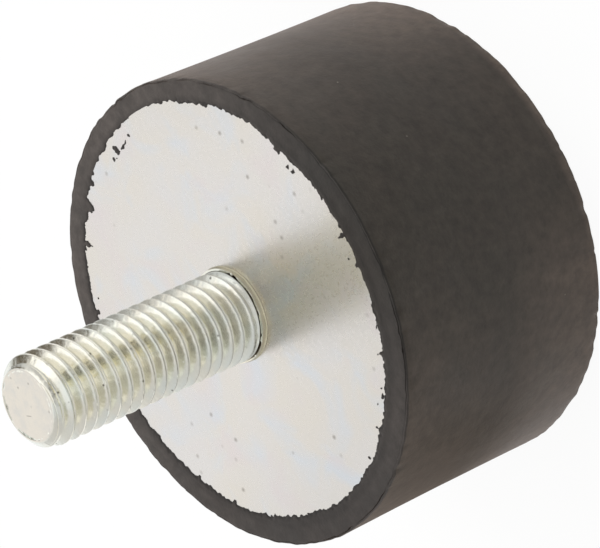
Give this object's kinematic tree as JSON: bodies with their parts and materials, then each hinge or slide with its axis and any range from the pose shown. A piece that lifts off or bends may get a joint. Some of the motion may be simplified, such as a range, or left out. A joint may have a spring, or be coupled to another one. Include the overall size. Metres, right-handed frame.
{
  "type": "bobbin vibration mount",
  "caption": "Round rubber bobbin mount bonded between two steel plates, with a threaded stud at one end and a blind tapped bush at the other, for isolating vibration.",
  "frame": {"origin": "centre of the rear face, where the mount stands", "axes": "+Z along the mount's axis, towards the stud; X and Y are free, because the mount is round"},
  "size_m": [0.05, 0.05, 0.0549],
  "materials": {
    "natural_rubber": "moulded, matt, with a faint bloom",
    "zinc_plated_plate": "zinc plated with a clear blue passivation, satin",
    "zinc_plated_stud": "zinc plated with a pale yellow-blue passivation, bright"
  },
  "bodies": {
    "root": {"rubber_body": "natural_rubber", "front_plate": "zinc_plated_plate", "stud": "zinc_plated_stud", "rear_plate": "zinc_plated_plate", "rear_bush": "zinc_plated_stud"}
  },
  "joints": []
}
